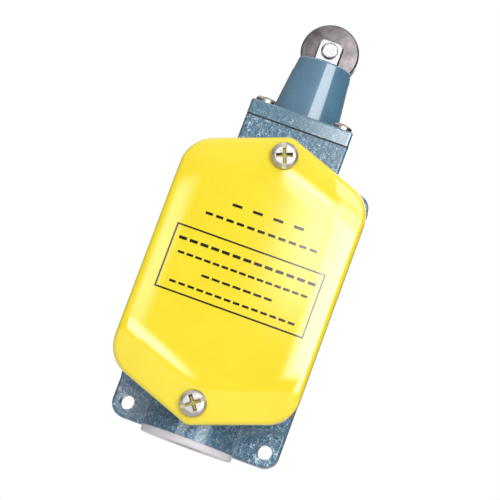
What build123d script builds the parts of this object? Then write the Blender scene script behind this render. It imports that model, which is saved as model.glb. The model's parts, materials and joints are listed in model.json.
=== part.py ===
"""Roller-plunger limit switch.

A die-cast housing on a rear mounting plate holds a double-break contact block behind a
hexagonal front cover.  A square-flanged turret on the housing's neck guides a spring-returned
plunger whose fork carries a steel roller, and a cable gland closes the boss at the bottom.

Frame, in millimetres: +Z runs up the switch to the roller, -Y is the front (the cover side) and
the origin lies on the rear mounting face, midway between the two mounting holes.  "Forward" is
the distance in front of the rear face, so forward = -Y.
"""

from build123d import *
from math import atan, degrees
import os

os.makedirs("parts", exist_ok=True)

# ----------------------------------------------------------------------------- driving sizes
# rear plate with the two mounting ears at its foot
PLATE_WIDTH = 53.5
PLATE_TOP = 84.0
PLATE_FOOT = -4.8
PLATE_THICKNESS = 7.0
PLATE_CORNER = 4.5
PLATE_EDGE = 0.9
HOLE_X = 22.25
HOLE_RADIUS = 2.25

# long hexagon shared by the cover, its gasket and the housing walls
CENTRE_Z = 43.0
COVER_HALF_WIDTH = 28.4
COVER_CORNER = 34.2
COVER_APEX = 44.6
WALL_HALF_WIDTH = 26.75
WALL_CORNER = 33.3
WALL_APEX = 43.0
SKIRT = 2.5

# depths of the housing and cover, measured forward of the rear face
FLOOR = 4.0
RIM = 36.0
WALL_CORNER_RADIUS = 6.5
WALL_APEX_RADIUS = 3.0
COVER_BACK = 37.0
COVER_POCKET = 40.5
COVER_FRONT = 43.0
COVER_SCREW_Z = 38.2
COVER_CORNER_RADIUS = 10.0
COVER_APEX_RADIUS = 3.5
COVER_EDGE = 1.3
COVER_POCKET_SIZE = (51.0, 62.0)
COVER_POCKET_CORNER = 7.0
COVER_SCREW_LENGTH = 13.5
COVER_SCREW_TURNS = (110, 38)
COVER_TAP_DEPTH = 6.7

# inside of the housing
CAVITY_HALF_WIDTH = 23.75
CAVITY_TOP = 66.0
CAVITY_CORNER_Z = 14.2
CAVITY_FLAT_X = 17.5
CAVITY_BOTTOM = 12.0
CAVITY_CORNER_RADIUS = 3.0
STANDOFF_RADIUS = 4.0
STANDOFF_TAP_DEPTH = 4.8

# neck and turret, both on the plunger's axis
AXIS = 18.0
NECK_SIDE = 31.9
NECK_ROOT = 60.0
NECK_TOP = 91.25
NECK_CORNER = 1.0
SPRING_SHELF = 71.0
SPRING_BORE = 8.0
STEM_HOLE = 3.3
FLANGE_BOTTOM = 91.75
FLANGE_TOP = 96.3
FLANGE_EDGE = 0.6
TURRET_TOP = 115.6
TURRET_ROOT_RADIUS = 10.85
TURRET_TIP_RADIUS = 8.6
TURRET_RIM = 0.7
TURRET_BORE = 7.2
HEAD_SCREW_PITCH = 24.0
HEAD_SCREW_LENGTH = 12.5
HEAD_TAP_DEPTH = 9.0

# roller, its pin and the plunger, at rest
TRAVEL = 5.0
ROLLER_Z = 119.4
ROLLER_RADIUS = 8.9
ROLLER_WIDTH = 5.0
ROLLER_CHAMFER = 0.5
SLOT_WIDTH = 5.5
SLOT_CLEARANCE = 0.35
PIN_RADIUS = 2.0
PIN_HEAD_RADIUS = 2.6
PIN_HEAD_HEIGHT = 1.0
PIN_HEAD_EDGE = 0.7
FORK_GAP = 5.4
FORK_DEPTH = 10.8
FORK_WIDTH = 7.8
FORK_TOP = 122.8
FORK_CORNER = 2.2
FORK_BEVEL = 0.5
FORK_BASE = 110.0
COLLAR_BOTTOM = 107.0
COLLAR_RADIUS = 6.8
GUIDE_RADIUS = 5.0
GUIDE_BOTTOM = 91.75
STEM_RADIUS = 3.0
STEM_TIP = 66.2
STEM_EDGE = 0.8
CLIP_BOTTOM = 89.55
CLIP_TOP = 90.35
CLIP_GROOVE = 2.5
CLIP_RADIUS = 4.3
CLIP_MOUTH = 3.4
RETAINER_RADIUS = 7.2
RETURN_COIL = (5.4, 0.6, 8)

# bush and wiper in the turret
BUSH_FLANGE_RADIUS = 8.4
BUSH_FLANGE_TOP = 93.15
BUSH_BOTTOM = 91.95
BUSH_TOP = 99.5
WIPER_TOP = 101.8
RUNNING_GAP = 0.05

# cable entry
BOSS_RADIUS = 14.6
ENTRY_RADIUS = 10.25
ENTRY_FLOOR = 6.0
WIRE_HOLE = 7.5
GLAND_FLANGE_RADIUS = 14.25
GLAND_FOOT = -6.9
GLAND_TOP = 0.7
GLAND_WASHER_TOP = 1.5
CABLE_RADIUS = 6.0
GLAND_SEAL_RADIUS = 9.8
GLAND_EDGE = 0.5

# contact block
BLOCK_HALF_WIDTH = 19.5
BLOCK_BOTTOM = 21.0
BLOCK_TOP = 60.5
BLOCK_BACK = 7.0
BLOCK_FRONT = 24.0
BLOCK_LID_FRONT = 26.5
BLOCK_LID_BAND = 11.8
BLOCK_SCREW = (15.5, 42.5)
STRIP = 1.2
STRIP_SLOT_GAP = 0.2
ARM_BACK = 15.5
ARM_FRONT = 20.5
ARM_START = 5.2
WEB_OUTSIDE = 18.2
TAB_INSIDE = 10.0
UPPER_ARM_Z = 46.4
LOWER_ARM_Z = 38.6
TERMINAL_X = 13.6
UPPER_TERMINAL_Z = 53.8
LOWER_TERMINAL_Z = 31.2
CLAMP_SIDE = 7.0
CONTACT_X = 7.0
CONTACT_RADIUS = 1.6
RIVET_SHANK = 0.8
FIXED_RIVET_HEAD = 0.9
BRIDGE_HALF_LENGTH = 9.0
BRIDGE_BOTTOM = 43.4
BRIDGE_RIVET_HEAD = 0.7
BRIDGE_CORNER = 1.2
CHAMBER_HALF_WIDTH = 9.8
CHAMBER_BACK = 13.0
CHAMBER_MARGINS = (2.6, 3.6)
CHANNEL_BACK = 13.7
SLOT_START = 9.0
UPPER_WEB_TOP = 58.0
UPPER_TAB_BOTTOM = 49.5
LOWER_WEB_BOTTOM = 27.0
LOWER_TAB_TOP = 35.5
BLOCK_CORNER = 1.0
LID_HALF_WIDTH = 9.6
LID_CORNER = 0.6
TERMINAL_TAP_DEPTH = 8.2
TERMINAL_SCREW_LENGTH = 10.0
BLOCK_SCREW_LENGTH = 24.0

# the block's own stem
BLOCK_STEM_BOTTOM = 36.0
BLOCK_STEM_TOP = 66.0
BLOCK_STEM_BACK = 14.0
BLOCK_STEM_FRONT = 22.0
BLOCK_STEM_HALF = 3.0
CHANNEL_FOOT = 25.0
SLIDE_GAP = 0.3
STEM_PIN_RADIUS = 2.8
CONTACT_COIL = (1.8, 0.25, 6)
STEM_COIL = (2.2, 0.3, 8)

# earth terminal
EARTH_X = 17.0
EARTH_Z = 16.5
EARTH_PAD = 9.0
EARTH_WASHER = 0.8
EARTH_PAD_RADIUS = 4.2
EARTH_WASHER_RADIUS = 4.0
EARTH_SCREW_LENGTH = 6.5
EARTH_TAP_DEPTH = 6.2

# screws: shank radius, head radius, head height
M4 = (2.0, 4.0, 2.4)
HEAD_SCREW = (1.75, 3.2, 1.8)
M35 = (1.75, 3.1, 2.1)
M3 = (1.5, 2.8, 1.9)
THREAD_GAP = 0.05
HOLE_GAP = 0.2
RECESS_SPAN = 1.25
RECESS_ARM = 0.24
RECESS_DEPTH = 0.75
RECESS_DRAFT = 12
DRIVE_SLOT_WIDTH = 1.3
DRIVE_SLOT_DEPTH = 1.0
HEAD_ROUNDING = 0.6


# ----------------------------------------------------------------------------- helpers
def front_plane(forward):
    """A plane parallel to the cover: sketch x is X, sketch y is Z, extrusions come forward."""
    return Plane(origin=(0, -forward, 0), x_dir=(1, 0, 0), z_dir=(0, -1, 0))


def level(z):
    """A horizontal plane with its origin on the plunger's axis; extrusions rise."""
    return Plane(origin=(0, -AXIS, z), x_dir=(1, 0, 0), z_dir=(0, 0, 1))


def disc(plane, radius, height, place=(0, 0), mode=Mode.ADD):
    """Adds or cuts a round plug that stands on the plane."""
    with BuildSketch(plane, mode=Mode.PRIVATE) as outline:
        with Locations(place):
            Circle(radius)
    extrude(outline.sketch, amount=height, mode=mode)


def ring(plane, outer, inner, height, place=(0, 0)):
    """Adds a flat ring that stands on the plane."""
    with BuildSketch(plane, mode=Mode.PRIVATE) as outline:
        with Locations(place):
            Circle(outer)
            Circle(inner, mode=Mode.SUBTRACT)
    extrude(outline.sketch, amount=height)


def slab(x_range, forward_range, z_range, mode=Mode.ADD):
    """Adds or cuts a plain block given by its three ranges."""
    with BuildSketch(front_plane(forward_range[0]), mode=Mode.PRIVATE) as outline:
        with Locations((sum(x_range) / 2, sum(z_range) / 2)):
            Rectangle(x_range[1] - x_range[0], z_range[1] - z_range[0])
    extrude(outline.sketch, amount=forward_range[1] - forward_range[0], mode=mode)


def hexagon(half_width, corner, apex, corner_radius, apex_radius):
    """The long hexagon about CENTRE_Z, with rounded side corners and apexes."""
    with BuildSketch(Plane.XY, mode=Mode.PRIVATE) as outline:
        with BuildLine():
            Polyline(
                (0, CENTRE_Z + apex),
                (half_width, CENTRE_Z + corner),
                (half_width, CENTRE_Z - corner),
                (0, CENTRE_Z - apex),
                (-half_width, CENTRE_Z - corner),
                (-half_width, CENTRE_Z + corner),
                close=True,
            )
        make_face()
        tips = [v for v in outline.vertices() if abs(v.X) < half_width / 2]
        fillet(tips, apex_radius)
        shoulders = [v for v in outline.vertices() if abs(abs(v.X) - half_width) < 0.01]
        fillet(shoulders, corner_radius)
    return outline.sketch


def wall_outline(grow=0.0):
    """The outline of the housing's walls, moved outwards by `grow`."""
    sizes = (WALL_HALF_WIDTH + grow, WALL_CORNER + grow, WALL_APEX + grow)
    return hexagon(*sizes, WALL_CORNER_RADIUS, WALL_APEX_RADIUS)


def cavity_outline():
    """The mouth of the housing's cavity, straight across the top, tapered at the foot."""
    with BuildSketch(Plane.XY, mode=Mode.PRIVATE) as outline:
        with BuildLine():
            Polyline(
                (-CAVITY_HALF_WIDTH, CAVITY_TOP),
                (CAVITY_HALF_WIDTH, CAVITY_TOP),
                (CAVITY_HALF_WIDTH, CAVITY_CORNER_Z),
                (CAVITY_FLAT_X, CAVITY_BOTTOM),
                (-CAVITY_FLAT_X, CAVITY_BOTTOM),
                (-CAVITY_HALF_WIDTH, CAVITY_CORNER_Z),
                close=True,
            )
        make_face()
        fillet(outline.vertices(), CAVITY_CORNER_RADIUS)
    return outline.sketch


def pan_screw(plane, thread, length, place=(0, 0), turn=0, slotted=False):
    """A cross-recessed pan-head screw: the head stands on the plane, the shank sinks.

    The recess is turned by an angle, and a slotted head has a slot right across it as well.
    """
    shank, head, height = thread
    span = head * RECESS_SPAN
    arm = span * RECESS_ARM
    with BuildPart() as screw:
        disc(plane, head, height, place)
        crown = screw.faces().sort_by(Axis(plane.origin, plane.z_dir))[-1]
        fillet(crown.edges(), height * HEAD_ROUNDING)
        disc(plane, shank, -length, place)
        with BuildSketch(plane.offset(height)):
            with Locations(place):
                Rectangle(span, arm, rotation=turn)
                Rectangle(arm, span, rotation=turn)
                Circle(arm * 0.85)
        extrude(amount=-height * RECESS_DEPTH, taper=RECESS_DRAFT, mode=Mode.SUBTRACT)
        if slotted:
            with BuildSketch(plane.offset(height)):
                with Locations(place):
                    Rectangle(3 * head, DRIVE_SLOT_WIDTH, rotation=turn)
            extrude(amount=-DRIVE_SLOT_DEPTH, mode=Mode.SUBTRACT)
    return screw.part


def coil(plane, winding, length):
    """Adds a round-wire spring that stands on the plane; winding is mean radius, wire, turns."""
    mean_radius, wire_radius, turns = winding
    rise = length - 2 * wire_radius
    start = plane.offset(wire_radius)
    with BuildLine(mode=Mode.PRIVATE) as path:
        Helix(rise / turns, rise, mean_radius, center=start.origin, direction=plane.z_dir)
    with BuildSketch(Plane(path.line @ 0, z_dir=path.line % 0), mode=Mode.PRIVATE) as wire:
        Circle(wire_radius)
    sweep(wire.sketch, path=path.line, is_frenet=True)


def save(part, name):
    """Labels a finished piece and writes it as its own file."""
    part.label = name
    export_step(part, f"parts/{name}.step")


COVER_SCREWS = [(0, CENTRE_Z + COVER_SCREW_Z), (0, CENTRE_Z - COVER_SCREW_Z)]
HEAD_SCREW_PLACES = (-HEAD_SCREW_PITCH / 2, HEAD_SCREW_PITCH / 2)
HEAD_SCREWS = [(x, y) for x in HEAD_SCREW_PLACES for y in HEAD_SCREW_PLACES]
BLOCK_SCREWS = [(side * BLOCK_SCREW[0], BLOCK_SCREW[1]) for side in (-1, 1)]
TERMINALS = [(side * TERMINAL_X, z) for side in (-1, 1) for z in (UPPER_TERMINAL_Z, LOWER_TERMINAL_Z)]

# ----------------------------------------------------------------------------- housing
with BuildPart() as housing:
    # rear plate, rounded along its front edge
    with BuildSketch(front_plane(0)):
        with Locations((0, (PLATE_TOP + PLATE_FOOT) / 2)):
            RectangleRounded(PLATE_WIDTH, PLATE_TOP - PLATE_FOOT, PLATE_CORNER)
    extrude(amount=PLATE_THICKNESS)
    fillet(housing.faces().sort_by(Axis.Y)[0].edges(), PLATE_EDGE)
    # hexagonal walls with a sloping skirt where they meet the plate
    with BuildSketch(front_plane(0)):
        add(wall_outline())
    extrude(amount=RIM)
    with BuildSketch(front_plane(PLATE_THICKNESS)):
        add(wall_outline(grow=SKIRT))
    extrude(amount=SKIRT, taper=45)
    half_width = PLATE_WIDTH / 2
    wall_top = CENTRE_Z + WALL_APEX
    slab((-half_width, half_width), (0, RIM), (PLATE_FOOT, wall_top), Mode.INTERSECT)
    # neck
    with BuildSketch(level(NECK_ROOT)):
        RectangleRounded(NECK_SIDE, NECK_SIDE, NECK_CORNER)
    extrude(amount=NECK_TOP - NECK_ROOT)
    # cable boss, round in front and squared off to the plate
    with BuildSketch(level(PLATE_FOOT)):
        Circle(BOSS_RADIUS)
        with Locations((0, (AXIS - 1) / 2)):
            Rectangle(2 * BOSS_RADIUS, AXIS - 1)
    extrude(amount=CAVITY_BOTTOM - PLATE_FOOT)
    # cavity, left straight at the top so that the neck stays solid around its bore
    with BuildSketch(front_plane(FLOOR)):
        add(cavity_outline())
    extrude(amount=RIM - FLOOR, mode=Mode.SUBTRACT)
    # standoffs for the contact block and the pad for the earth screw
    for place in BLOCK_SCREWS:
        disc(front_plane(FLOOR - 1), STANDOFF_RADIUS, BLOCK_BACK - FLOOR + 1, place)
        disc(front_plane(BLOCK_BACK), M3[0] + THREAD_GAP, -STANDOFF_TAP_DEPTH, place, Mode.SUBTRACT)
    earth = (EARTH_X, EARTH_Z)
    disc(front_plane(FLOOR - 1), EARTH_PAD_RADIUS, EARTH_PAD - FLOOR + 1, earth)
    disc(front_plane(EARTH_PAD), M4[0] + THREAD_GAP, -EARTH_TAP_DEPTH, earth, Mode.SUBTRACT)
    # plunger spring bore and the hole that its stem passes
    disc(level(SPRING_SHELF), SPRING_BORE, NECK_TOP - SPRING_SHELF, mode=Mode.SUBTRACT)
    disc(level(CAVITY_TOP - 1), STEM_HOLE, SPRING_SHELF - CAVITY_TOP + 1, mode=Mode.SUBTRACT)
    # cable entry: threaded mouth, then a narrower throat into the cavity
    disc(level(PLATE_FOOT), ENTRY_RADIUS, ENTRY_FLOOR - PLATE_FOOT, mode=Mode.SUBTRACT)
    disc(level(ENTRY_FLOOR), WIRE_HOLE, CAVITY_BOTTOM + 1 - ENTRY_FLOOR, mode=Mode.SUBTRACT)
    # tapped and plain holes
    for place in COVER_SCREWS:
        disc(front_plane(RIM), M4[0] + THREAD_GAP, -COVER_TAP_DEPTH, place, Mode.SUBTRACT)
    for place in HEAD_SCREWS:
        disc(level(NECK_TOP), HEAD_SCREW[0] + THREAD_GAP, -HEAD_TAP_DEPTH, place, Mode.SUBTRACT)
    for side in (-1, 1):
        disc(front_plane(0), HOLE_RADIUS, PLATE_THICKNESS, (side * HOLE_X, 0), Mode.SUBTRACT)
save(housing.part, "housing")

# ----------------------------------------------------------------------------- cover
with BuildPart() as cover:
    with BuildSketch(front_plane(COVER_BACK)):
        sizes = (COVER_HALF_WIDTH, COVER_CORNER, COVER_APEX)
        add(hexagon(*sizes, COVER_CORNER_RADIUS, COVER_APEX_RADIUS))
    extrude(amount=COVER_FRONT - COVER_BACK)
    fillet(cover.faces().sort_by(Axis.Y)[0].edges(), COVER_EDGE)
    with BuildSketch(front_plane(COVER_BACK)):
        with Locations((0, CENTRE_Z)):
            RectangleRounded(*COVER_POCKET_SIZE, COVER_POCKET_CORNER)
    extrude(amount=COVER_POCKET - COVER_BACK, mode=Mode.SUBTRACT)
    for place in COVER_SCREWS:
        disc(front_plane(COVER_BACK), M4[0] + HOLE_GAP, COVER_FRONT - COVER_BACK, place, Mode.SUBTRACT)
save(cover.part, "cover")

with BuildPart() as cover_gasket:
    with BuildSketch(front_plane(RIM)):
        add(wall_outline())
        add(cavity_outline(), mode=Mode.SUBTRACT)
        with Locations(*COVER_SCREWS):
            Circle(M4[0] + HOLE_GAP, mode=Mode.SUBTRACT)
    extrude(amount=COVER_BACK - RIM)
save(cover_gasket.part, "cover_gasket")

screws = [
    pan_screw(front_plane(COVER_FRONT), M4, COVER_SCREW_LENGTH, place, turn, slotted=True)
    for place, turn in zip(COVER_SCREWS, COVER_SCREW_TURNS)
]
with BuildPart() as cover_screws:
    add(screws)
save(cover_screws.part, "cover_screws")

# ----------------------------------------------------------------------------- turret
with BuildPart() as head_gasket:
    with BuildSketch(level(NECK_TOP)):
        RectangleRounded(NECK_SIDE, NECK_SIDE, NECK_CORNER)
        Circle(BUSH_FLANGE_RADIUS + HOLE_GAP, mode=Mode.SUBTRACT)
        with Locations(*HEAD_SCREWS):
            Circle(HEAD_SCREW[0] + HOLE_GAP, mode=Mode.SUBTRACT)
    extrude(amount=FLANGE_BOTTOM - NECK_TOP)
save(head_gasket.part, "head_gasket")

with BuildPart() as head_casting:
    with BuildSketch(level(FLANGE_BOTTOM)):
        RectangleRounded(NECK_SIDE, NECK_SIDE, NECK_CORNER)
    extrude(amount=FLANGE_TOP - FLANGE_BOTTOM)
    fillet(head_casting.faces().sort_by(Axis.Z)[-1].edges(), FLANGE_EDGE)
    with BuildSketch(level(FLANGE_TOP)):
        Circle(TURRET_ROOT_RADIUS)
    turret_height = TURRET_TOP - FLANGE_TOP
    draft = degrees(atan((TURRET_ROOT_RADIUS - TURRET_TIP_RADIUS) / turret_height))
    extrude(amount=turret_height, taper=draft)
    fillet(head_casting.faces().sort_by(Axis.Z)[-1].edges(), TURRET_RIM)
    disc(level(FLANGE_BOTTOM), TURRET_BORE, TURRET_TOP - FLANGE_BOTTOM, mode=Mode.SUBTRACT)
    seat = BUSH_FLANGE_TOP - FLANGE_BOTTOM
    disc(level(FLANGE_BOTTOM), BUSH_FLANGE_RADIUS + RUNNING_GAP, seat, mode=Mode.SUBTRACT)
    # slot across the rim, cut to the path of the roller down to the end of its travel
    slot = ROLLER_RADIUS + SLOT_CLEARANCE
    slot_depth = (AXIS - SLOT_WIDTH / 2, AXIS + SLOT_WIDTH / 2)
    lowest = ROLLER_Z - TRAVEL
    disc(front_plane(slot_depth[0]), slot, SLOT_WIDTH, (0, lowest), Mode.SUBTRACT)
    slab((-slot, slot), slot_depth, (lowest, TURRET_TOP), Mode.SUBTRACT)
    for place in HEAD_SCREWS:
        disc(level(FLANGE_BOTTOM), HEAD_SCREW[0] + HOLE_GAP, FLANGE_TOP - FLANGE_BOTTOM, place, Mode.SUBTRACT)
save(head_casting.part, "head_casting")

screws = [pan_screw(level(FLANGE_TOP), HEAD_SCREW, HEAD_SCREW_LENGTH, spot) for spot in HEAD_SCREWS]
with BuildPart() as head_screws:
    add(screws)
save(head_screws.part, "head_screws")

with BuildPart() as plunger_bush:
    bore = GUIDE_RADIUS + RUNNING_GAP
    ring(level(BUSH_BOTTOM), BUSH_FLANGE_RADIUS, bore, BUSH_FLANGE_TOP - BUSH_BOTTOM)
    ring(level(BUSH_FLANGE_TOP), TURRET_BORE, bore, BUSH_TOP - BUSH_FLANGE_TOP)
save(plunger_bush.part, "plunger_bush")

with BuildPart() as plunger_wiper:
    bore = GUIDE_RADIUS + 2 * RUNNING_GAP
    ring(level(BUSH_TOP), TURRET_BORE - RUNNING_GAP, bore, WIPER_TOP - BUSH_TOP)
    fillet(plunger_wiper.edges().group_by(Axis.Z)[-1], 0.5)
save(plunger_wiper.part, "plunger_wiper")

# ----------------------------------------------------------------------------- plunger
with BuildPart() as plunger:
    # fork: two cheeks that stand on a collar, rounded at the top
    with BuildSketch(front_plane(AXIS - FORK_DEPTH / 2)):
        with Locations((0, (COLLAR_BOTTOM + FORK_TOP) / 2)):
            Rectangle(FORK_WIDTH, FORK_TOP - COLLAR_BOTTOM)
    extrude(amount=FORK_DEPTH)
    rounded = plunger.edges().filter_by(Axis.Y).group_by(Axis.Z)[-1]
    fillet(rounded, FORK_CORNER)
    chamfer(plunger.faces().filter_by(Axis.Y).edges(), FORK_BEVEL)
    slab(
        (-FORK_WIDTH, FORK_WIDTH), (AXIS - FORK_GAP / 2, AXIS + FORK_GAP / 2), (FORK_BASE, FORK_TOP),
        mode=Mode.SUBTRACT,
    )
    disc(level(COLLAR_BOTTOM), COLLAR_RADIUS, FORK_BASE - COLLAR_BOTTOM)
    disc(front_plane(AXIS - FORK_DEPTH), PIN_RADIUS, 2 * FORK_DEPTH, (0, ROLLER_Z), Mode.SUBTRACT)
    # guided shank, then a thinner stem with the clip groove
    disc(level(GUIDE_BOTTOM), GUIDE_RADIUS, COLLAR_BOTTOM - GUIDE_BOTTOM)
    disc(level(CLIP_TOP), STEM_RADIUS, GUIDE_BOTTOM - CLIP_TOP)
    disc(level(CLIP_BOTTOM), CLIP_GROOVE, CLIP_TOP - CLIP_BOTTOM)
    disc(level(STEM_TIP), STEM_RADIUS, CLIP_BOTTOM - STEM_TIP)
    fillet(plunger.faces().sort_by(Axis.Z)[0].edges(), STEM_EDGE)
save(plunger.part, "plunger")

with BuildPart() as roller_pin:
    pin_back = AXIS - FORK_DEPTH / 2
    disc(front_plane(pin_back), PIN_RADIUS, FORK_DEPTH, (0, ROLLER_Z))
    disc(front_plane(pin_back), PIN_HEAD_RADIUS, -PIN_HEAD_HEIGHT, (0, ROLLER_Z))
    disc(front_plane(pin_back + FORK_DEPTH), PIN_HEAD_RADIUS, PIN_HEAD_HEIGHT, (0, ROLLER_Z))
    fillet(roller_pin.faces().sort_by(Axis.Y)[0].edges(), PIN_HEAD_EDGE)
    fillet(roller_pin.faces().sort_by(Axis.Y)[-1].edges(), PIN_HEAD_EDGE)
save(roller_pin.part, "roller_pin")

with BuildPart() as roller:
    roller_back = front_plane(AXIS - ROLLER_WIDTH / 2)
    ring(roller_back, ROLLER_RADIUS, PIN_RADIUS + RUNNING_GAP, ROLLER_WIDTH, (0, ROLLER_Z))
    rims = [e for e in roller.edges().filter_by(GeomType.CIRCLE) if e.radius > ROLLER_RADIUS - 1]
    chamfer(rims, ROLLER_CHAMFER)
save(roller.part, "roller")

with BuildPart() as spring_retainer:
    ring(level(CLIP_TOP), RETAINER_RADIUS, STEM_RADIUS + RUNNING_GAP, GUIDE_BOTTOM - CLIP_TOP)
save(spring_retainer.part, "spring_retainer")

with BuildPart() as retaining_ring:
    with BuildSketch(level(CLIP_BOTTOM)):
        Circle(CLIP_RADIUS)
        Circle(CLIP_GROOVE, mode=Mode.SUBTRACT)
        with Locations((0, -CLIP_RADIUS)):
            Rectangle(CLIP_MOUTH, CLIP_RADIUS, mode=Mode.SUBTRACT)
    extrude(amount=CLIP_TOP - CLIP_BOTTOM)
save(retaining_ring.part, "retaining_ring")

with BuildPart() as return_spring:
    coil(level(SPRING_SHELF), RETURN_COIL, CLIP_TOP - SPRING_SHELF)
save(return_spring.part, "return_spring")

# ----------------------------------------------------------------------------- contact block
LID_BAND = (BLOCK_SCREW[1] - BLOCK_LID_BAND / 2, BLOCK_SCREW[1] + BLOCK_LID_BAND / 2)

with BuildPart() as contact_base:
    slab(
        (-BLOCK_HALF_WIDTH, BLOCK_HALF_WIDTH), (BLOCK_BACK, BLOCK_FRONT), (BLOCK_BOTTOM, BLOCK_TOP),
    )
    fillet(contact_base.edges().filter_by(Axis.Y), BLOCK_CORNER)
    # chamber for the bridge, and the channel that the stem slides in
    below, above = CHAMBER_MARGINS
    chamber_z = (LOWER_ARM_Z - below, UPPER_ARM_Z + above)
    slab((-CHAMBER_HALF_WIDTH, CHAMBER_HALF_WIDTH), (CHAMBER_BACK, BLOCK_FRONT), chamber_z, Mode.SUBTRACT)
    channel = BLOCK_STEM_HALF + SLIDE_GAP
    slab((-channel, channel), (CHANNEL_BACK, BLOCK_FRONT), (CHANNEL_FOOT, BLOCK_TOP), Mode.SUBTRACT)
    for side in (-1, 1):
        # slots that the terminal strips drop into, with their outer webs in side recesses
        for arm_bottom in (UPPER_ARM_Z, LOWER_ARM_Z - STRIP):
            inner = sorted((side * SLOT_START, side * (BLOCK_HALF_WIDTH + 1)))
            heights = (arm_bottom - STRIP_SLOT_GAP, arm_bottom + STRIP + STRIP_SLOT_GAP)
            slab(inner, (ARM_BACK - STRIP_SLOT_GAP, BLOCK_FRONT), heights, Mode.SUBTRACT)
        outer = sorted((side * (WEB_OUTSIDE - STRIP - STRIP_SLOT_GAP), side * (BLOCK_HALF_WIDTH + 1)))
        upper_web = (UPPER_ARM_Z - STRIP_SLOT_GAP, UPPER_WEB_TOP + STRIP_SLOT_GAP)
        lower_web = (LOWER_WEB_BOTTOM - STRIP_SLOT_GAP, LOWER_ARM_Z + STRIP_SLOT_GAP)
        for heights in (upper_web, lower_web):
            slab(outer, (ARM_BACK - STRIP_SLOT_GAP, BLOCK_FRONT), heights, Mode.SUBTRACT)
    for place in TERMINALS:
        disc(front_plane(BLOCK_FRONT), M35[0] + THREAD_GAP, -TERMINAL_TAP_DEPTH, place, Mode.SUBTRACT)
    for place in BLOCK_SCREWS:
        disc(front_plane(BLOCK_BACK), M3[0] + HOLE_GAP, BLOCK_FRONT - BLOCK_BACK, place, Mode.SUBTRACT)
save(contact_base.part, "contact_base")

with BuildPart() as contact_lid:
    slab((-LID_HALF_WIDTH, LID_HALF_WIDTH), (BLOCK_FRONT, BLOCK_LID_FRONT), (BLOCK_BOTTOM, BLOCK_TOP))
    slab((-BLOCK_HALF_WIDTH, BLOCK_HALF_WIDTH), (BLOCK_FRONT, BLOCK_LID_FRONT), LID_BAND)
    fillet(contact_lid.edges().filter_by(Axis.Y), LID_CORNER)
    for place in BLOCK_SCREWS:
        disc(front_plane(BLOCK_FRONT), M3[0] + HOLE_GAP, BLOCK_LID_FRONT - BLOCK_FRONT, place, Mode.SUBTRACT)
save(contact_lid.part, "contact_lid")


def terminal(side, upper):
    """One folded brass strip: arm in the block, web at its side, screw tab in front."""
    arm_bottom = UPPER_ARM_Z if upper else LOWER_ARM_Z - STRIP
    web = (arm_bottom, UPPER_WEB_TOP) if upper else (LOWER_WEB_BOTTOM, LOWER_ARM_Z)
    tab = (UPPER_TAB_BOTTOM, UPPER_WEB_TOP) if upper else (LOWER_WEB_BOTTOM, LOWER_TAB_TOP)
    screw_z = UPPER_TERMINAL_Z if upper else LOWER_TERMINAL_Z
    with BuildPart() as strip:
        arm_x = sorted((side * ARM_START, side * WEB_OUTSIDE))
        slab(arm_x, (ARM_BACK, ARM_FRONT), (arm_bottom, arm_bottom + STRIP))
        web_x = sorted((side * (WEB_OUTSIDE - STRIP), side * WEB_OUTSIDE))
        slab(web_x, (ARM_BACK, BLOCK_FRONT), web)
        tab_x = sorted((side * TAB_INSIDE, side * WEB_OUTSIDE))
        slab(tab_x, (BLOCK_FRONT, BLOCK_FRONT + STRIP), tab)
        hole = front_plane(BLOCK_FRONT)
        disc(hole, M35[0] + HOLE_GAP, STRIP, (side * TERMINAL_X, screw_z), Mode.SUBTRACT)
        contact = level(arm_bottom)
        disc(contact, RIVET_SHANK, STRIP, (side * CONTACT_X, 0), Mode.SUBTRACT)
    return strip.part


for side, hand in ((-1, "left"), (1, "right")):
    save(terminal(side, True), f"terminal_nc_{hand}")
    save(terminal(side, False), f"terminal_no_{hand}")

with BuildPart() as fixed_contact_rivets:
    for side in (-1, 1):
        place = (side * CONTACT_X, 0)
        disc(level(UPPER_ARM_Z), CONTACT_RADIUS, -FIXED_RIVET_HEAD, place)
        disc(level(UPPER_ARM_Z), RIVET_SHANK, STRIP, place)
        disc(level(LOWER_ARM_Z), CONTACT_RADIUS, FIXED_RIVET_HEAD, place)
        disc(level(LOWER_ARM_Z), RIVET_SHANK, -STRIP, place)
save(fixed_contact_rivets.part, "fixed_contact_rivets")

with BuildPart() as terminal_clamps:
    with BuildSketch(front_plane(BLOCK_FRONT + STRIP)):
        with Locations(*TERMINALS):
            RectangleRounded(CLAMP_SIDE, CLAMP_SIDE, LID_CORNER)
            Circle(M35[0] + HOLE_GAP, mode=Mode.SUBTRACT)
    extrude(amount=STRIP)
save(terminal_clamps.part, "terminal_clamps")

on_clamps = front_plane(BLOCK_FRONT + 2 * STRIP)
screws = [pan_screw(on_clamps, M35, TERMINAL_SCREW_LENGTH, spot) for spot in TERMINALS]
with BuildPart() as terminal_screws:
    add(screws)
save(terminal_screws.part, "terminal_screws")

on_lid = front_plane(BLOCK_LID_FRONT)
screws = [pan_screw(on_lid, M3, BLOCK_SCREW_LENGTH, spot) for spot in BLOCK_SCREWS]
with BuildPart() as contact_block_screws:
    add(screws)
save(contact_block_screws.part, "contact_block_screws")

# moving bridge and the stem that carries it
BRIDGE_TOP = BRIDGE_BOTTOM + STRIP
BRIDGE_BACK = ARM_BACK + HOLE_GAP
BRIDGE_FRONT = ARM_FRONT - HOLE_GAP
WINDOW_TOP = 50.6
SHOULDER = BLOCK_TOP - 0.5

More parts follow.
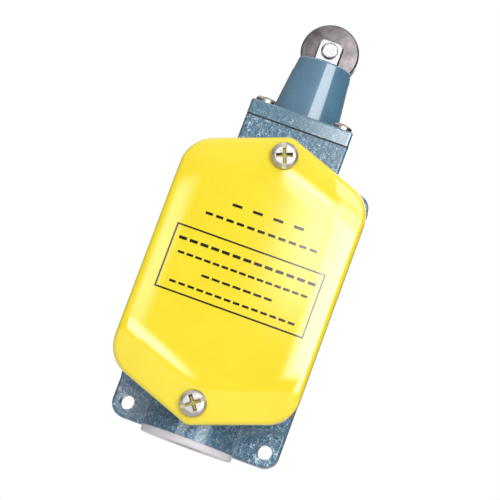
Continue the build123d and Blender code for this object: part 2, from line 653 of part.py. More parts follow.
with BuildPart() as contact_stem:
    half = BLOCK_STEM_HALF
    slab((-half, half), (BLOCK_STEM_BACK, BLOCK_STEM_FRONT), (BLOCK_STEM_BOTTOM, SHOULDER))
    disc(level(SHOULDER), STEM_PIN_RADIUS, BLOCK_STEM_TOP - SHOULDER)
    window = (BRIDGE_BACK - SLIDE_GAP, BRIDGE_FRONT + SLIDE_GAP)
    slab((-half, half), window, (BRIDGE_BOTTOM - SLIDE_GAP, WINDOW_TOP), Mode.SUBTRACT)
save(contact_stem.part, "contact_stem")

with BuildPart() as contact_bridge:
    slab(
        (-BRIDGE_HALF_LENGTH, BRIDGE_HALF_LENGTH), (BRIDGE_BACK, BRIDGE_FRONT), (BRIDGE_BOTTOM, BRIDGE_TOP),
    )
    fillet(contact_bridge.edges().filter_by(Axis.Z), BRIDGE_CORNER)
    for side in (-1, 1):
        disc(level(BRIDGE_BOTTOM), RIVET_SHANK, STRIP, (side * CONTACT_X, 0), Mode.SUBTRACT)
save(contact_bridge.part, "contact_bridge")

with BuildPart() as bridge_rivets:
    for side in (-1, 1):
        place = (side * CONTACT_X, 0)
        disc(level(BRIDGE_BOTTOM), RIVET_SHANK, STRIP, place)
        disc(level(BRIDGE_TOP), CONTACT_RADIUS, BRIDGE_RIVET_HEAD, place)
        disc(level(BRIDGE_BOTTOM), CONTACT_RADIUS, -BRIDGE_RIVET_HEAD, place)
save(bridge_rivets.part, "bridge_rivets")

with BuildPart() as contact_spring:
    coil(level(BRIDGE_TOP), CONTACT_COIL, WINDOW_TOP - BRIDGE_TOP)
save(contact_spring.part, "contact_spring")

with BuildPart() as stem_spring:
    coil(level(CHANNEL_FOOT), STEM_COIL, BLOCK_STEM_BOTTOM - CHANNEL_FOOT)
save(stem_spring.part, "stem_spring")

# ----------------------------------------------------------------------------- earth terminal
with BuildPart() as earth_washer:
    bore = M4[0] + HOLE_GAP
    ring(front_plane(EARTH_PAD), EARTH_WASHER_RADIUS, bore, EARTH_WASHER, (EARTH_X, EARTH_Z))
save(earth_washer.part, "earth_washer")

on_washer = front_plane(EARTH_PAD + EARTH_WASHER)
save(pan_screw(on_washer, M4, EARTH_SCREW_LENGTH, (EARTH_X, EARTH_Z)), "earth_screw")

# ----------------------------------------------------------------------------- cable gland
with BuildPart() as gland_nut:
    ring(level(GLAND_FOOT), GLAND_FLANGE_RADIUS, CABLE_RADIUS, PLATE_FOOT - GLAND_FOOT)
    fillet(gland_nut.edges().group_by(Axis.Z)[0].sort_by(SortBy.RADIUS)[-1], GLAND_EDGE)
    ring(level(PLATE_FOOT), ENTRY_RADIUS - THREAD_GAP, CABLE_RADIUS, GLAND_TOP - PLATE_FOOT)
save(gland_nut.part, "gland_nut")

with BuildPart() as gland_washer:
    ring(level(GLAND_TOP), GLAND_SEAL_RADIUS, CABLE_RADIUS + HOLE_GAP, GLAND_WASHER_TOP - GLAND_TOP)
save(gland_washer.part, "gland_washer")

with BuildPart() as cable_grommet:
    bore = CABLE_RADIUS + HOLE_GAP
    ring(level(GLAND_WASHER_TOP), GLAND_SEAL_RADIUS, bore, ENTRY_FLOOR - GLAND_WASHER_TOP)
save(cable_grommet.part, "cable_grommet")
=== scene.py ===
"""Looks of the roller-plunger limit switch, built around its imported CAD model.

Metres, in the model's own frame: +Z up to the roller, -Y out of the front cover.
"""

import bpy
import bmesh
import json
from math import cos, exp, log, pi, radians, sin
from mathutils import Matrix, Vector


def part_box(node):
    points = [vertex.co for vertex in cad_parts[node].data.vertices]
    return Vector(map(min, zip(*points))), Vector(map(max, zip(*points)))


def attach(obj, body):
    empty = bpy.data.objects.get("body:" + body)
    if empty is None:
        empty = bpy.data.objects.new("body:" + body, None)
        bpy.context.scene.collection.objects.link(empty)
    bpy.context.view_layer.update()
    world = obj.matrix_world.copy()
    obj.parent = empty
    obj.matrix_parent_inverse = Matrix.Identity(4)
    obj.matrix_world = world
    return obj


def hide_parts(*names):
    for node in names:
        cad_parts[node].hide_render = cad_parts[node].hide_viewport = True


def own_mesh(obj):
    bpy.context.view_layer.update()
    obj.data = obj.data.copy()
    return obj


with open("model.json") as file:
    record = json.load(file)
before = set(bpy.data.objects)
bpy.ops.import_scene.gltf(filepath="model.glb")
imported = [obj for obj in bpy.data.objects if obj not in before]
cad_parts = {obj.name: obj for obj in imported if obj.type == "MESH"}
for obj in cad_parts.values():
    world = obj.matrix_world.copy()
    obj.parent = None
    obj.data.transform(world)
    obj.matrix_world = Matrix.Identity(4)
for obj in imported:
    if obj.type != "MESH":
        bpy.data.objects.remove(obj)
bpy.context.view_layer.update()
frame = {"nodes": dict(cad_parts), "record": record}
MM = 0.001

cover_low, cover_high = (Vector(corner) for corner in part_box("cover"))
COVER_FRONT = cover_low.y
COVER_BACK = cover_high.y
COVER_HALF_WIDTH = cover_high.x
COVER_CENTRE_Z = (cover_low.z + cover_high.z) / 2
roller_low, roller_high = (Vector(corner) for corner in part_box("roller"))
ROLLER_CENTRE = (roller_low + roller_high) / 2
ROLLER_RADIUS = (roller_high.z - roller_low.z) / 2
FLANGE_TOP = 96.3 * MM


# ----------------------------------------------------------------------------- camera
VIEW_YAW = radians(4.98)
VIEW_PITCH = radians(6.93)
VIEW_ROLL = radians(20.33)
VIEW_DISTANCE = 0.6358
AIM_ABOVE_COVER_CENTRE = 0.00897
LENS = 158.4
SENSOR_WIDTH = 36

scene = bpy.context.scene
scene.view_settings.view_transform = "Standard"
turn = Matrix.Rotation(VIEW_YAW, 3, "Z") @ Matrix.Rotation(VIEW_PITCH, 3, "X")
forward = turn @ Vector((0, 1, 0))
right = turn @ Vector((1, 0, 0))
up = turn @ Vector((0, 0, 1))
across = right * cos(VIEW_ROLL) + up * sin(VIEW_ROLL)
upright = up * cos(VIEW_ROLL) - right * sin(VIEW_ROLL)
aim = Vector((0, COVER_FRONT, COVER_CENTRE_Z + AIM_ABOVE_COVER_CENTRE))
camera = bpy.data.objects.new("camera", bpy.data.cameras.new("camera"))
scene.collection.objects.link(camera)
camera.data.sensor_width = SENSOR_WIDTH
camera.data.lens = LENS
camera.data.clip_start = 0.01
camera.matrix_world = Matrix.Translation(aim - forward * VIEW_DISTANCE) @ Matrix(
    (across, upright, -forward)
).transposed().to_4x4()
scene.camera = camera


# ----------------------------------------------------------------------------- node trees
def principled(name):
    """A new material, its node tree and its main shader."""
    material = bpy.data.materials.new(name)
    material.use_nodes = True
    tree = material.node_tree
    return material, tree, tree.nodes["Principled BSDF"]


class Graph:
    """A node tree under construction, with short calls for its nodes."""

    def __init__(self, tree):
        self.tree = tree

    def feed(self, socket, value):
        """Links a value that comes out of another node, and sets any other."""
        if isinstance(value, bpy.types.NodeSocket):
            self.tree.links.new(value, socket)
        else:
            socket.default_value = value

    def add(self, kind, **values):
        """Adds a node, setting or linking its inputs by name."""
        node = self.tree.nodes.new(kind)
        for key, value in values.items():
            self.feed(node.inputs[key], value)
        return node

    def math(self, operation, *values):
        node = self.add("ShaderNodeMath")
        node.operation = operation
        for socket, value in zip(node.inputs, values):
            self.feed(socket, value)
        return node.outputs[0]

    def grey(self, source, low, high, start=0.0, end=1.0, easing="LINEAR"):
        """Maps a value's range start to end onto low to high."""
        ends = {"From Min": start, "From Max": end, "To Min": low, "To Max": high}
        node = self.add("ShaderNodeMapRange", Value=source, **ends)
        node.interpolation_type = easing
        return node.outputs["Result"]


# ----------------------------------------------------------------------------- stage
FLOOR_HALF_SIDE = 4.0
FLOOR_HEIGHT = -0.16
AMBIENT_LOW = 0.12
AMBIENT_HIGH = 1.22
ZENITH_SHARE = 0.25
RIGHT_SHARE = 0.3
# soft panes in the world: radiance, azimuth and elevation ranges, and the softness of the
# upright and level edges, in degrees
PANES = [
    (4.6, -4.2, 9.5, 6.2, 18.5, 0.8, 1.5),
    (8.0, 9.0, 26.0, 3.5, 13.5, 4.5, 1.8),
    (4.5, 9.0, 46.0, 13.5, 21.0, 3.0, 2.5),
    (3.4, 6.5, 47.0, 22.8, 33.0, 1.0, 1.0),
    (6.5, 19.0, 46.0, -3.0, 3.5, 2.5, 3.0),
    (5.0, 26.0, 46.0, 3.5, 13.5, 2.0, 2.0),
    (5.6, -28.0, -6.3, -0.5, 2.9, 0.9, 0.9),
    (2.8, -29.0, -18.5, 3.5, 9.0, 4.0, 3.5),
    (3.0, -3.4, 2.6, 15.0, 17.0, 0.6, 0.6),
]


def build_floor():
    """A pale floor well below the switch."""
    material, _, shader = principled("studio_floor")
    shader.inputs["Base Color"].default_value = (0.7, 0.7, 0.7, 1)
    shader.inputs["Roughness"].default_value = 0.9
    signs = ((-1, -1), (1, -1), (1, 1), (-1, 1))
    corners = [(x * FLOOR_HALF_SIDE, y * FLOOR_HALF_SIDE, FLOOR_HEIGHT) for x, y in signs]
    mesh = bpy.data.meshes.new("floor")
    mesh.from_pydata(corners, [], [(0, 1, 2, 3)])
    mesh.materials.append(material)
    floor = bpy.data.objects.new("floor", mesh)
    scene.collection.objects.link(floor)


def build_world():
    """Plain white to the eye; for light and reflections a dim sky with soft bright panes."""
    world = bpy.data.worlds.new("studio")
    scene.world = world
    world.use_nodes = True
    graph = Graph(world.node_tree)
    nodes = world.node_tree.nodes
    backdrop = nodes["Background"]
    backdrop.inputs["Color"].default_value = (1, 1, 1, 1)
    backdrop.inputs["Strength"].default_value = 1.0
    direction = graph.add("ShaderNodeTexCoord").outputs["Generated"]

    def along(axis):
        node = graph.add("ShaderNodeVectorMath")
        node.operation = "DOT_PRODUCT"
        graph.feed(node.inputs[0], direction)
        graph.feed(node.inputs[1], axis)
        return node.outputs["Value"]

    def fade(source, start, end, low, high):
        return graph.grey(source, low, high, start, end, "SMOOTHSTEP")

    def window(source, start, end, softness, strength):
        rise = fade(source, start - softness, start + softness, 0.0, strength)
        fall = fade(source, end - softness, end + softness, 1.0, 0.0)
        return graph.math("MULTIPLY", rise, fall)

    rightwards, rising = along((1, 0, 0)), along((0, 0, 1))
    azimuth = graph.math("DEGREES", graph.math("ARCTAN2", rightwards, along((0, -1, 0))))
    elevation = graph.math("DEGREES", graph.math("ARCSINE", rising))
    strength = graph.math(
        "MULTIPLY",
        fade(rising, 0.15, 0.9, AMBIENT_LOW, AMBIENT_HIGH),
        fade(rising, 0.86, 0.97, 1.0, ZENITH_SHARE),
    )
    strength = graph.math("MULTIPLY", strength, fade(rightwards, 0.45, 0.85, 1.0, RIGHT_SHARE))
    for radiance, left, far_right, bottom, top, upright_soft, level_soft in PANES:
        column = window(azimuth, left, far_right, upright_soft, radiance)
        row = window(elevation, bottom, top, level_soft, 1.0)
        strength = graph.math("ADD", strength, graph.math("MULTIPLY", column, row))
    ambient = graph.add("ShaderNodeBackground", Color=(0.95, 0.97, 1.0, 1), Strength=strength)
    seen = graph.add("ShaderNodeLightPath").outputs["Is Camera Ray"]
    mix = graph.add("ShaderNodeMixShader", Fac=seen)
    graph.feed(mix.inputs[1], ambient.outputs[0])
    graph.feed(mix.inputs[2], backdrop.outputs[0])
    graph.feed(nodes["World Output"].inputs["Surface"], mix.outputs[0])


def softbox(name, azimuth, elevation, width, height, radiance, distance=1.1):
    """A rectangular light that faces the cover.

    Azimuth runs from straight in front towards +X and elevation rises above the horizon, in
    degrees; width and height are angles too.
    """
    light = bpy.data.lights.new(name, "AREA")
    light.shape = "RECTANGLE"
    light.size = radians(width) * distance
    light.size_y = radians(height) * distance
    light.energy = radiance * pi * light.size * light.size_y
    lamp = bpy.data.objects.new(name, light)
    scene.collection.objects.link(lamp)
    sideways = Matrix.Rotation(radians(azimuth), 3, "Z")
    away = sideways @ Matrix.Rotation(radians(-elevation), 3, "X") @ Vector((0, -1, 0))
    lamp.location = Vector((0, COVER_FRONT, COVER_CENTRE_Z)) + away * distance
    lamp.rotation_euler = away.to_track_quat("Z", "Y").to_euler()


build_floor()
build_world()
softbox("back", 170, 30, 40, 40, 2.0)


# ----------------------------------------------------------------------------- materials
class Recipe(Graph):
    """A material under construction."""

    def __init__(self, name, colour, metallic, roughness):
        self.material, tree, self.shader = principled(name)
        super().__init__(tree)
        self.put("Base Color", (*colour, 1))
        self.put("Metallic", metallic)
        self.put("Roughness", roughness)
        self.place = self.add("ShaderNodeTexCoord").outputs["Object"]

    def put(self, name, value):
        """Sets or links one of the main shader's inputs."""
        self.feed(self.shader.inputs[name], value)

    def axes(self):
        """The place's X, Y and Z outputs, by name."""
        return self.add("ShaderNodeSeparateXYZ", Vector=self.place).outputs

    def from_axis(self, parts, x, z):
        """The squared distance from a line along Y."""
        run = self.math("SUBTRACT", parts["X"], x)
        rise = self.math("SUBTRACT", parts["Z"], z)
        return self.math("ADD", self.math("MULTIPLY", run, run), self.math("MULTIPLY", rise, rise))

    def noise(self, size_mm, detail=3.0, roughness=0.5, vector=None):
        """Noise with features of about the given size."""
        place = vector or self.place
        values = {"Scale": 1 / (size_mm * MM), "Detail": detail, "Roughness": roughness}
        return self.add("ShaderNodeTexNoise", Vector=place, **values).outputs["Fac"]

    def cells(self, size_mm):
        """Smooth dimples of about the given size."""
        node = self.tree.nodes.new("ShaderNodeTexVoronoi")
        node.feature = "SMOOTH_F1"
        node.inputs["Scale"].default_value = 1 / (size_mm * MM)
        self.feed(node.inputs["Vector"], self.place)
        return node.outputs["Distance"]

    def ramp(self, source, stops):
        """Maps a 0 to 1 value through (position, colour) stops."""
        node = self.add("ShaderNodeValToRGB", Fac=source)
        elements = node.color_ramp.elements
        while len(elements) < len(stops):
            elements.new(0.5)
        for element, (position, colour) in zip(elements, stops):
            element.position = position
            element.color = (*colour, 1)
        return node.outputs["Color"]

    def mix(self, factor, first, second):
        """Blends two colours."""
        node = self.tree.nodes.new("ShaderNodeMix")
        node.data_type = "RGBA"
        for name, value in (("Factor", factor), ("A", first), ("B", second)):
            self.feed(node.inputs[name], value)
        return node.outputs["Result"]

    def bump(self, height, distance, strength=1.0, under=None):
        """Shapes the surface by a height, on top of another bump where one is given."""
        node = self.add("ShaderNodeBump", Height=height, Distance=distance, Strength=strength)
        if under:
            self.feed(node.inputs["Normal"], under)
        self.put("Normal", node.outputs["Normal"])
        return node.outputs["Normal"]


def hammered_colour(recipe, dark, middle, light):
    """Colour and height of enamel that dried into dimples with pale flecks between them."""
    dimples = recipe.cells(1.15)
    flecks = recipe.noise(0.42, 2.0, 0.65)
    mottle = recipe.math(
        "ADD", recipe.math("MULTIPLY", dimples, 0.3), recipe.math("MULTIPLY", flecks, 0.75)
    )
    mottle = recipe.math("ADD", mottle, recipe.math("MULTIPLY", recipe.noise(5), 0.16))
    stops = [(0.36, dark), (0.51, middle), (0.65, middle), (0.77, light)]
    return recipe.ramp(mottle, stops), dimples, flecks


def hammertone(name, dark, middle, light):
    """The housing's two-tone hammered enamel."""
    recipe = Recipe(name, middle, 0.2, 0.3)
    colour, dimples, flecks = hammered_colour(recipe, dark, middle, light)
    recipe.put("Base Color", colour)
    recipe.put("Roughness", recipe.grey(flecks, 0.16, 0.4, 0.3, 0.7))
    recipe.put("Coat Weight", 0.7)
    recipe.put("Coat Roughness", 0.08)
    recipe.bump(flecks, 0.09 * MM, under=recipe.bump(dimples, 0.22 * MM))
    return recipe.material


def turret_enamel(name, smooth, dark, middle, light, flange_top):
    """Glossy enamel on the cone that turns hammered on the flange below it."""
    recipe = Recipe(name, smooth, 0.0, 0.3)
    height = recipe.axes()["Z"]
    on_cone = recipe.grey(height, 0.0, 1.0, flange_top - 0.3 * MM, flange_top + 1.2 * MM)
    hammered, dimples, flecks = hammered_colour(recipe, dark, middle, light)
    shade = tuple(0.84 * channel for channel in smooth)
    glossy = recipe.ramp(recipe.noise(9), [(0.35, shade), (0.65, smooth)])
    recipe.put("Base Color", recipe.mix(on_cone, hammered, glossy))
    recipe.put("Roughness", recipe.grey(flecks, 0.2, 0.36, 0.3, 0.7))
    recipe.put("Coat Weight", 1.0)
    recipe.put("Coat Roughness", 0.07)
    recipe.put("Coat IOR", 2.0)
    off_cone = recipe.math("SUBTRACT", 1.0, on_cone)
    relief = recipe.math("ADD", dimples, recipe.math("MULTIPLY", flecks, 0.5))
    relief = recipe.math("MULTIPLY", relief, off_cone)
    peel = recipe.math("MULTIPLY", recipe.noise(2.2, 1.0), 0.12)
    recipe.bump(recipe.math("ADD", relief, peel), 0.14 * MM)
    return recipe.material


def enamel(name, colour, shade, orange_peel_mm, peel):
    """Smooth glossy enamel with faint orange peel and slight colour drift."""
    recipe = Recipe(name, colour, 0.0, 0.32)
    recipe.put("Base Color", recipe.ramp(recipe.noise(14), [(0.3, shade), (0.6, colour)]))
    recipe.put("Roughness", recipe.grey(recipe.noise(3), 0.26, 0.38))
    recipe.put("Specular IOR Level", 0.0)
    recipe.put("Coat Weight", 1.0)
    recipe.put("Coat Roughness", 0.05)
    recipe.put("Coat IOR", 1.8)
    recipe.bump(recipe.noise(orange_peel_mm, 1.0), peel * MM)
    return recipe.material


def metal_recipe(name, colour, tint, roughness):
    """Bare or plated metal with a fine grain and cloudy roughness, and its colour's output."""
    recipe = Recipe(name, colour, 1.0, roughness)
    clouds = recipe.noise(2.5, 4.0)
    shown = recipe.ramp(clouds, [(0.3, tint), (0.65, colour)])
    recipe.put("Base Color", shown)
    recipe.put("Roughness", recipe.grey(clouds, roughness * 0.8, roughness * 1.3, 0.3, 0.7))
    recipe.bump(recipe.noise(0.35, 2.0), 0.0012 * MM)
    return recipe, shown


def metal(name, colour, tint, roughness):
    """Plain metal, as metal_recipe makes it."""
    recipe, _ = metal_recipe(name, colour, tint, roughness)
    return recipe.material


def zinc_with_painted_recess_shade(name, colour, tint, face, axes, recess_radius, recess_shade_colour):
    """Bright zinc with painted shade: dark and yellowish inside the cross recesses of heads that
    face -Y.
    """
    recipe, bright = metal_recipe(name, colour, tint, 0.34)
    parts = recipe.axes()
    depth = recipe.grey(parts["Y"], 0.0, 1.0, face + 0.6 * MM, face + 1.3 * MM)
    inside = 0.0
    for x, z in axes:
        near = recipe.math("LESS_THAN", recipe.from_axis(parts, x, z), recess_radius ** 2)
        inside = recipe.math("ADD", near, inside)
    # painted shade: deep parts of each head, past 0.6 mm behind its face, take the dark yellowish
    # recess colour
    recess_shade_mask = recipe.math("MULTIPLY", depth, inside)
    recipe.put("Base Color", recipe.mix(recess_shade_mask, bright, (*recess_shade_colour, 1)))
    return recipe.material


def turned_steel(name, colour, tint, centre, reach, dome):
    """Machined steel with rings about an axis along Y through the centre and domed faces."""
    recipe = Recipe(name, colour, 1.0, 0.3)
    parts = recipe.axes()
    square = recipe.from_axis(parts, centre.x, centre.z)
    radius = recipe.math("SQRT", square)
    rings_at = recipe.add("ShaderNodeCombineXYZ", X=radius, Y=parts["Y"])
    rings = recipe.noise(0.18, 2.0, 0.6, rings_at.outputs["Vector"])
    recipe.put("Base Color", recipe.ramp(recipe.noise(3), [(0.3, tint), (0.65, colour)]))
    recipe.put("Roughness", recipe.grey(rings, 0.24, 0.4, 0.3, 0.7))
    domed = recipe.bump(recipe.math("MULTIPLY", square, -1 / reach ** 2), dome)
    recipe.bump(rings, 0.006 * MM, 0.8, under=domed)
    return recipe.material


def moulding(name, colour, shade, roughness, grain_mm=0.5, grain=0.015, coat=0.0):
    """Moulded plastic or rubber with a fine tool texture."""
    recipe = Recipe(name, colour, 0.0, roughness)
    drift = recipe.noise(6)
    recipe.put("Base Color", recipe.ramp(drift, [(0.3, shade), (0.7, colour)]))
    recipe.put("Roughness", recipe.grey(drift, roughness * 0.85, roughness * 1.15, 0.3, 0.7))
    recipe.put("Coat Weight", coat)
    recipe.bump(recipe.noise(grain_mm, 2.0), grain * MM)
    return recipe.material


finishes = {
    "body_paint": hammertone(
        "hammered_enamel", (0.030, 0.070, 0.105), (0.092, 0.185, 0.265), (0.66, 0.80, 0.88)
    ),
    "turret_paint": turret_enamel(
        "teal_enamel",
        (0.092, 0.225, 0.33), (0.045, 0.105, 0.155), (0.085, 0.195, 0.28), (0.40, 0.58, 0.68),
        FLANGE_TOP,
    ),
    "cover_paint": enamel("yellow_enamel", (1.0, 0.79, 0.033), (0.97, 0.75, 0.029), 1.6, 0.006),
    "zinc": metal("bright_zinc", (0.60, 0.56, 0.50), (0.44, 0.39, 0.32), 0.24),
    "steel": turned_steel(
        "turned_steel", (0.27, 0.235, 0.245), (0.13, 0.115, 0.12),
        ROLLER_CENTRE, ROLLER_RADIUS, 0.4 * MM,
    ),
    "plated_steel": metal("bright_nickel", (0.62, 0.60, 0.61), (0.47, 0.45, 0.46), 0.25),
    "spring_steel": metal("spring_wire", (0.42, 0.42, 0.44), (0.28, 0.28, 0.30), 0.32),
    "bronze": metal("bush_bronze", (0.68, 0.46, 0.22), (0.50, 0.32, 0.14), 0.34),
    "brass": metal("stamped_brass", (0.82, 0.64, 0.30), (0.66, 0.48, 0.20), 0.28),
    "silver": metal("contact_silver", (0.92, 0.91, 0.88), (0.80, 0.79, 0.76), 0.2),
    "phenolic": moulding(
        "brown_phenolic", (0.045, 0.025, 0.018), (0.03, 0.018, 0.012), 0.4, coat=0.2
    ),
    "stem_plastic": moulding(
        "cream_nylon", (0.70, 0.66, 0.55), (0.62, 0.58, 0.47), 0.35, coat=0.2
    ),
    "gland_plastic": moulding("grey_nylon", (0.80, 0.755, 0.775), (0.70, 0.66, 0.68), 0.45),
    "rubber": moulding(
        "black_rubber", (0.02, 0.02, 0.022), (0.012, 0.012, 0.014), 0.7, 0.3, 0.02
    ),
}

for entry in frame["record"]["subparts"]:
    node = frame["nodes"][entry["node"]]
    node.data.materials.clear()
    node.data.materials.append(finishes[entry["material_slot"]])

SCREW_RISE = 38.2 * MM
RECESS_RADIUS = 4.1 * MM
screw_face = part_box("cover_screws")[0][1]
screw_axes = [(0.0, COVER_CENTRE_Z + side * SCREW_RISE) for side in (-1, 1)]
# the cover screws' zinc, with painted shade in their cross recesses
frame["nodes"]["cover_screws"].data.materials[0] = zinc_with_painted_recess_shade(
    "cover_screw_zinc", (0.72, 0.68, 0.66), (0.46, 0.41, 0.36),
    screw_face, screw_axes, RECESS_RADIUS, (0.36, 0.32, 0.11),
)


# ----------------------------------------------------------------------------- cover
CORNER_RISE = 34.2 * MM
APEX_RISE = 44.6 * MM
CORNER_RADIUS = 10.0 * MM
APEX_RADIUS = 3.5 * MM
EDGE_RADIUS = 1.3 * MM
CROWN = 1.35 * MM
CROWN_REACH = 14.0 * MM
CROWN_POWER = 2.2
CROWN_BLEND = 1.5 * MM
LONG_SIDES = (1, 4)
SLANTED_SIDES = (0, 2, 3, 5)
EDGE_DROP = 0.75 * MM
HEX = [
    (0.0, APEX_RISE, APEX_RADIUS),
    (COVER_HALF_WIDTH, CORNER_RISE, CORNER_RADIUS),
    (COVER_HALF_WIDTH, -CORNER_RISE, CORNER_RADIUS),
    (0.0, -APEX_RISE, APEX_RADIUS),
    (-COVER_HALF_WIDTH, -CORNER_RISE, CORNER_RADIUS),
    (-COVER_HALF_WIDTH, CORNER_RISE, CORNER_RADIUS),
]
WALL = 2.4 * MM
SPINE_REACH = 20 * MM
ARC_STEPS = 14
SIDE_STEPS = 24
RIM_STEPS = 8
FACE_STEPS = 20
POCKET_STEPS = 4


def edge_normals():
    """The outward normal of each of the hexagon's sides, the first one after the top apex."""
    normals = []
    for index, (x, z, _) in enumerate(HEX):
        following = HEX[(index + 1) % len(HEX)]
        along = Vector((following[0] - x, following[1] - z)).normalized()
        normals.append(Vector((-along.y, along.x)))
    return [n if n.dot(Vector(HEX[i][:2])) > 0 else -n for i, n in enumerate(normals)]


NORMALS = edge_normals()


def outline(inset):
    """Points round the hexagon, moved inwards, with the same count at every inset."""
    points = []
    for index, (x, z, radius) in enumerate(HEX):
        before, after = NORMALS[index - 1], NORMALS[index]
        centre = Vector((x, z)) - radius * (before + after) / (1 + before.dot(after))
        for step in range(ARC_STEPS + 1):
            blend = before.lerp(after, step / ARC_STEPS).normalized()
            points.append(centre + (radius - inset) * blend)
    ring = []
    count = ARC_STEPS + 1
    for index in range(len(HEX)):
        arc = points[index * count:(index + 1) * count]
        following = points[((index + 1) % len(HEX)) * count]
        ring += arc
        ring += [arc[-1].lerp(following, step / SIDE_STEPS) for step in range(1, SIDE_STEPS)]
    return ring


def crown_drop(point, sides):
    """How far the face falls away from its crown towards the nearest of some sides."""
    past = [NORMALS[i].dot(point) - NORMALS[i].dot(Vector(HEX[i][:2])) for i in sides]
    total = sum(exp(distance / CROWN_BLEND) for distance in past)
    inside = min(max(-CROWN_BLEND * log(total) / CROWN_REACH, 0.0), 1.0)
    return CROWN * (1 - inside) ** CROWN_POWER


def crown_height(point):
    """How far the crowned face stands in front of the cover's nominal face at a point."""
    return CROWN - crown_drop(point, LONG_SIDES) - crown_drop(point, SLANTED_SIDES) - EDGE_DROP


def to_spine(point, share):
    """Moves a point of the outline towards the hexagon's middle line."""
    spine = Vector((0.0, min(max(point.y, -SPINE_REACH), SPINE_REACH)))
    return point.lerp(spine, share)


def build_cover():
    """A crowned shell with a rounded rim and a pocket behind."""
    rings = [[(p.x, COVER_BACK, p.y) for p in outline(0)]]
    for step in range(RIM_STEPS + 1):
        angle = step / RIM_STEPS * pi / 2
        inset = EDGE_RADIUS * (1 - cos(angle))
        drop = EDGE_RADIUS * (1 - sin(angle))
        rings.append([(p.x, COVER_FRONT - crown_height(p) + drop, p.y) for p in outline(inset)])
    rim = outline(EDGE_RADIUS)
    for step in range(1, FACE_STEPS + 1):
        points = [to_spine(p, step / FACE_STEPS) for p in rim]
        rings.append([(p.x, COVER_FRONT - crown_height(p), p.y) for p in points])
    pocket_front = COVER_FRONT + WALL
    inner = outline(WALL)
    pocket = [[(p.x, COVER_BACK, p.y) for p in inner]]
    for step in range(POCKET_STEPS + 1):
        points = [to_spine(p, step / POCKET_STEPS) for p in inner]
        pocket.append([(p.x, pocket_front, p.y) for p in points])
    bm = bmesh.new()

    def skin(layers, flip):
        previous = [bm.verts.new(co) for co in layers[0]]
        first = previous
        for layer in layers[1:]:
            current = [bm.verts.new(co) for co in layer]
            for i in range(len(current)):
                j = (i + 1) % len(current)
                quad = [previous[i], previous[j], current[j], current[i]]
                bm.faces.new(reversed(quad) if flip else quad)
            previous = current
        return first

    outer = skin(rings, False)
    lip = skin(pocket, True)
    for i in range(len(outer)):
        j = (i + 1) % len(outer)
        bm.faces.new([outer[j], outer[i], lip[i], lip[j]])
    bmesh.ops.remove_doubles(bm, verts=bm.verts, dist=1e-6)
    bmesh.ops.recalc_face_normals(bm, faces=bm.faces)
    return finish_mesh(bm, "crowned_cover", finishes["cover_paint"])


def finish_mesh(bm, name, material, crease=35):
    """Turns a bmesh drawn about the cover's centre into a piece in its place.

    Its shading is smooth except at creases sharper than the given angle.
    """
    mesh = bpy.data.meshes.new(name)
    bm.to_mesh(mesh)
    bm.free()
    mesh.materials.append(material)
    piece = bpy.data.objects.new(name, mesh)
    scene.collection.objects.link(piece)
    mesh.shade_smooth()
    mesh.set_sharp_from_angle(angle=radians(crease))
    mesh.transform(Matrix.Translation((0, 0, COVER_CENTRE_Z)))
    return piece


cover = build_cover()
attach(cover, "housing")
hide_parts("cover")


# ----------------------------------------------------------------------------- printed panel
FRAME_WIDTH = 45.7 * MM
FRAME_HEIGHT = 19.7 * MM
FRAME_CENTRE = Vector((0.3, -0.3)) * MM
LINE = 0.5 * MM
INK_PROUD = 0.06 * MM
INK_STEP = 1.5 * MM
# each row: height above the cover's centre, middle of the row, dash length, gap, dashes, stroke
ROWS = [
    (19.7, 1.7, 3.0, 3.3, 4, 0.8),
    (14.9, 1.3, 2.2, 1.0, 11, 0.8),
    (5.7, 0.4, 2.4, 0.9, 13, 0.9),
    (1.6, 0.4, 2.0, 0.7, 15, 0.7),
    (-2.8, 0.2, 2.4, 0.8, 7, 0.7),
    (-7.1, 0.3, 2.0, 0.8, 14, 0.7),
]


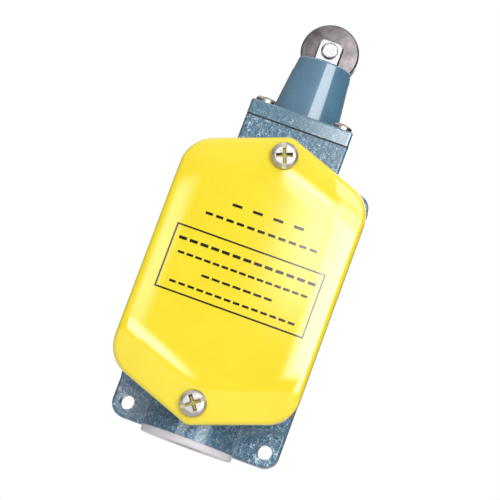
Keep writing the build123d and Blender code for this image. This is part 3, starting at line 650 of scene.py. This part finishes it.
def ink_bar(bm, low, high):
    """Adds a thin closed bar of ink that follows the crowned face between two corners."""
    steps_x = max(1, round((high.x - low.x) / INK_STEP))
    steps_z = max(1, round((high.y - low.y) / INK_STEP))
    layers = []
    for proud in (-INK_PROUD, INK_PROUD):
        grid = []
        for i in range(steps_x + 1):
            x = low.x + (high.x - low.x) * i / steps_x
            column = []
            for j in range(steps_z + 1):
                z = low.y + (high.y - low.y) * j / steps_z
                y = COVER_FRONT - crown_height(Vector((x, z))) - proud
                column.append(bm.verts.new((x, y, z)))
            grid.append(column)
        layers.append(grid)
    back, front = layers
    for i in range(steps_x):
        for j in range(steps_z):
            for grid in layers:
                bm.faces.new((grid[i][j], grid[i + 1][j], grid[i + 1][j + 1], grid[i][j + 1]))
    for i in range(steps_x):
        for j in (0, steps_z):
            bm.faces.new((back[i][j], back[i + 1][j], front[i + 1][j], front[i][j]))
    for j in range(steps_z):
        for i in (0, steps_x):
            bm.faces.new((back[i][j], back[i][j + 1], front[i][j + 1], front[i][j]))


def build_print():
    """A plain frame and rows of dashes where such a switch has its data."""
    bm = bmesh.new()
    half = Vector((FRAME_WIDTH, FRAME_HEIGHT)) / 2
    low, high = FRAME_CENTRE - half, FRAME_CENTRE + half
    ink_bar(bm, low, Vector((high.x, low.y + LINE)))
    ink_bar(bm, Vector((low.x, high.y - LINE)), high)
    ink_bar(bm, Vector((low.x, low.y + LINE)), Vector((low.x + LINE, high.y - LINE)))
    ink_bar(bm, Vector((high.x - LINE, low.y + LINE)), Vector((high.x, high.y - LINE)))
    for height, middle, dash, gap, count, stroke in ROWS:
        start = middle - (count * dash + (count - 1) * gap) / 2
        for index in range(count):
            x = start + index * (dash + gap)
            start_corner = Vector((x, height - stroke / 2)) * MM
            ink_bar(bm, start_corner, start_corner + Vector((dash, stroke)) * MM)
    bmesh.ops.recalc_face_normals(bm, faces=bm.faces)
    return finish_mesh(bm, "printed_panel", ink)


ink = enamel("printing_ink", (0.010, 0.010, 0.010), (0.018, 0.018, 0.016), 0.6, 0.002)
print_piece = build_print()
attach(print_piece, "housing")


# ----------------------------------------------------------------------------- springs
# each spring: node, body it rides on, its joint, height of its fixed end, shortest and free length
SPRINGS = [
    ("return_spring", "housing", "plunger_slide", 71.0, 14.35, 19.35),
    ("stem_spring", "housing", "contact_stem_slide", 25.0, 6.0, 11.0),
    ("contact_spring", "contact_bridge", "contact_stem_slide", 44.6, 4.0, 6.0),
]


def shorten_spring(node_name, body, joint, fixed_end, shortest, free):
    """Shows a CAD spring as a piece of its own, riding on the given body."""
    node = frame["nodes"][node_name]
    mesh = node.data.copy()
    mesh.transform(node.matrix_world)
    spring = bpy.data.objects.new(f"{node_name}_coil", mesh)
    scene.collection.objects.link(spring)
    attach(spring, body)
    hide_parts(node_name)
    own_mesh(spring)


for row in SPRINGS:
    shorten_spring(*row)
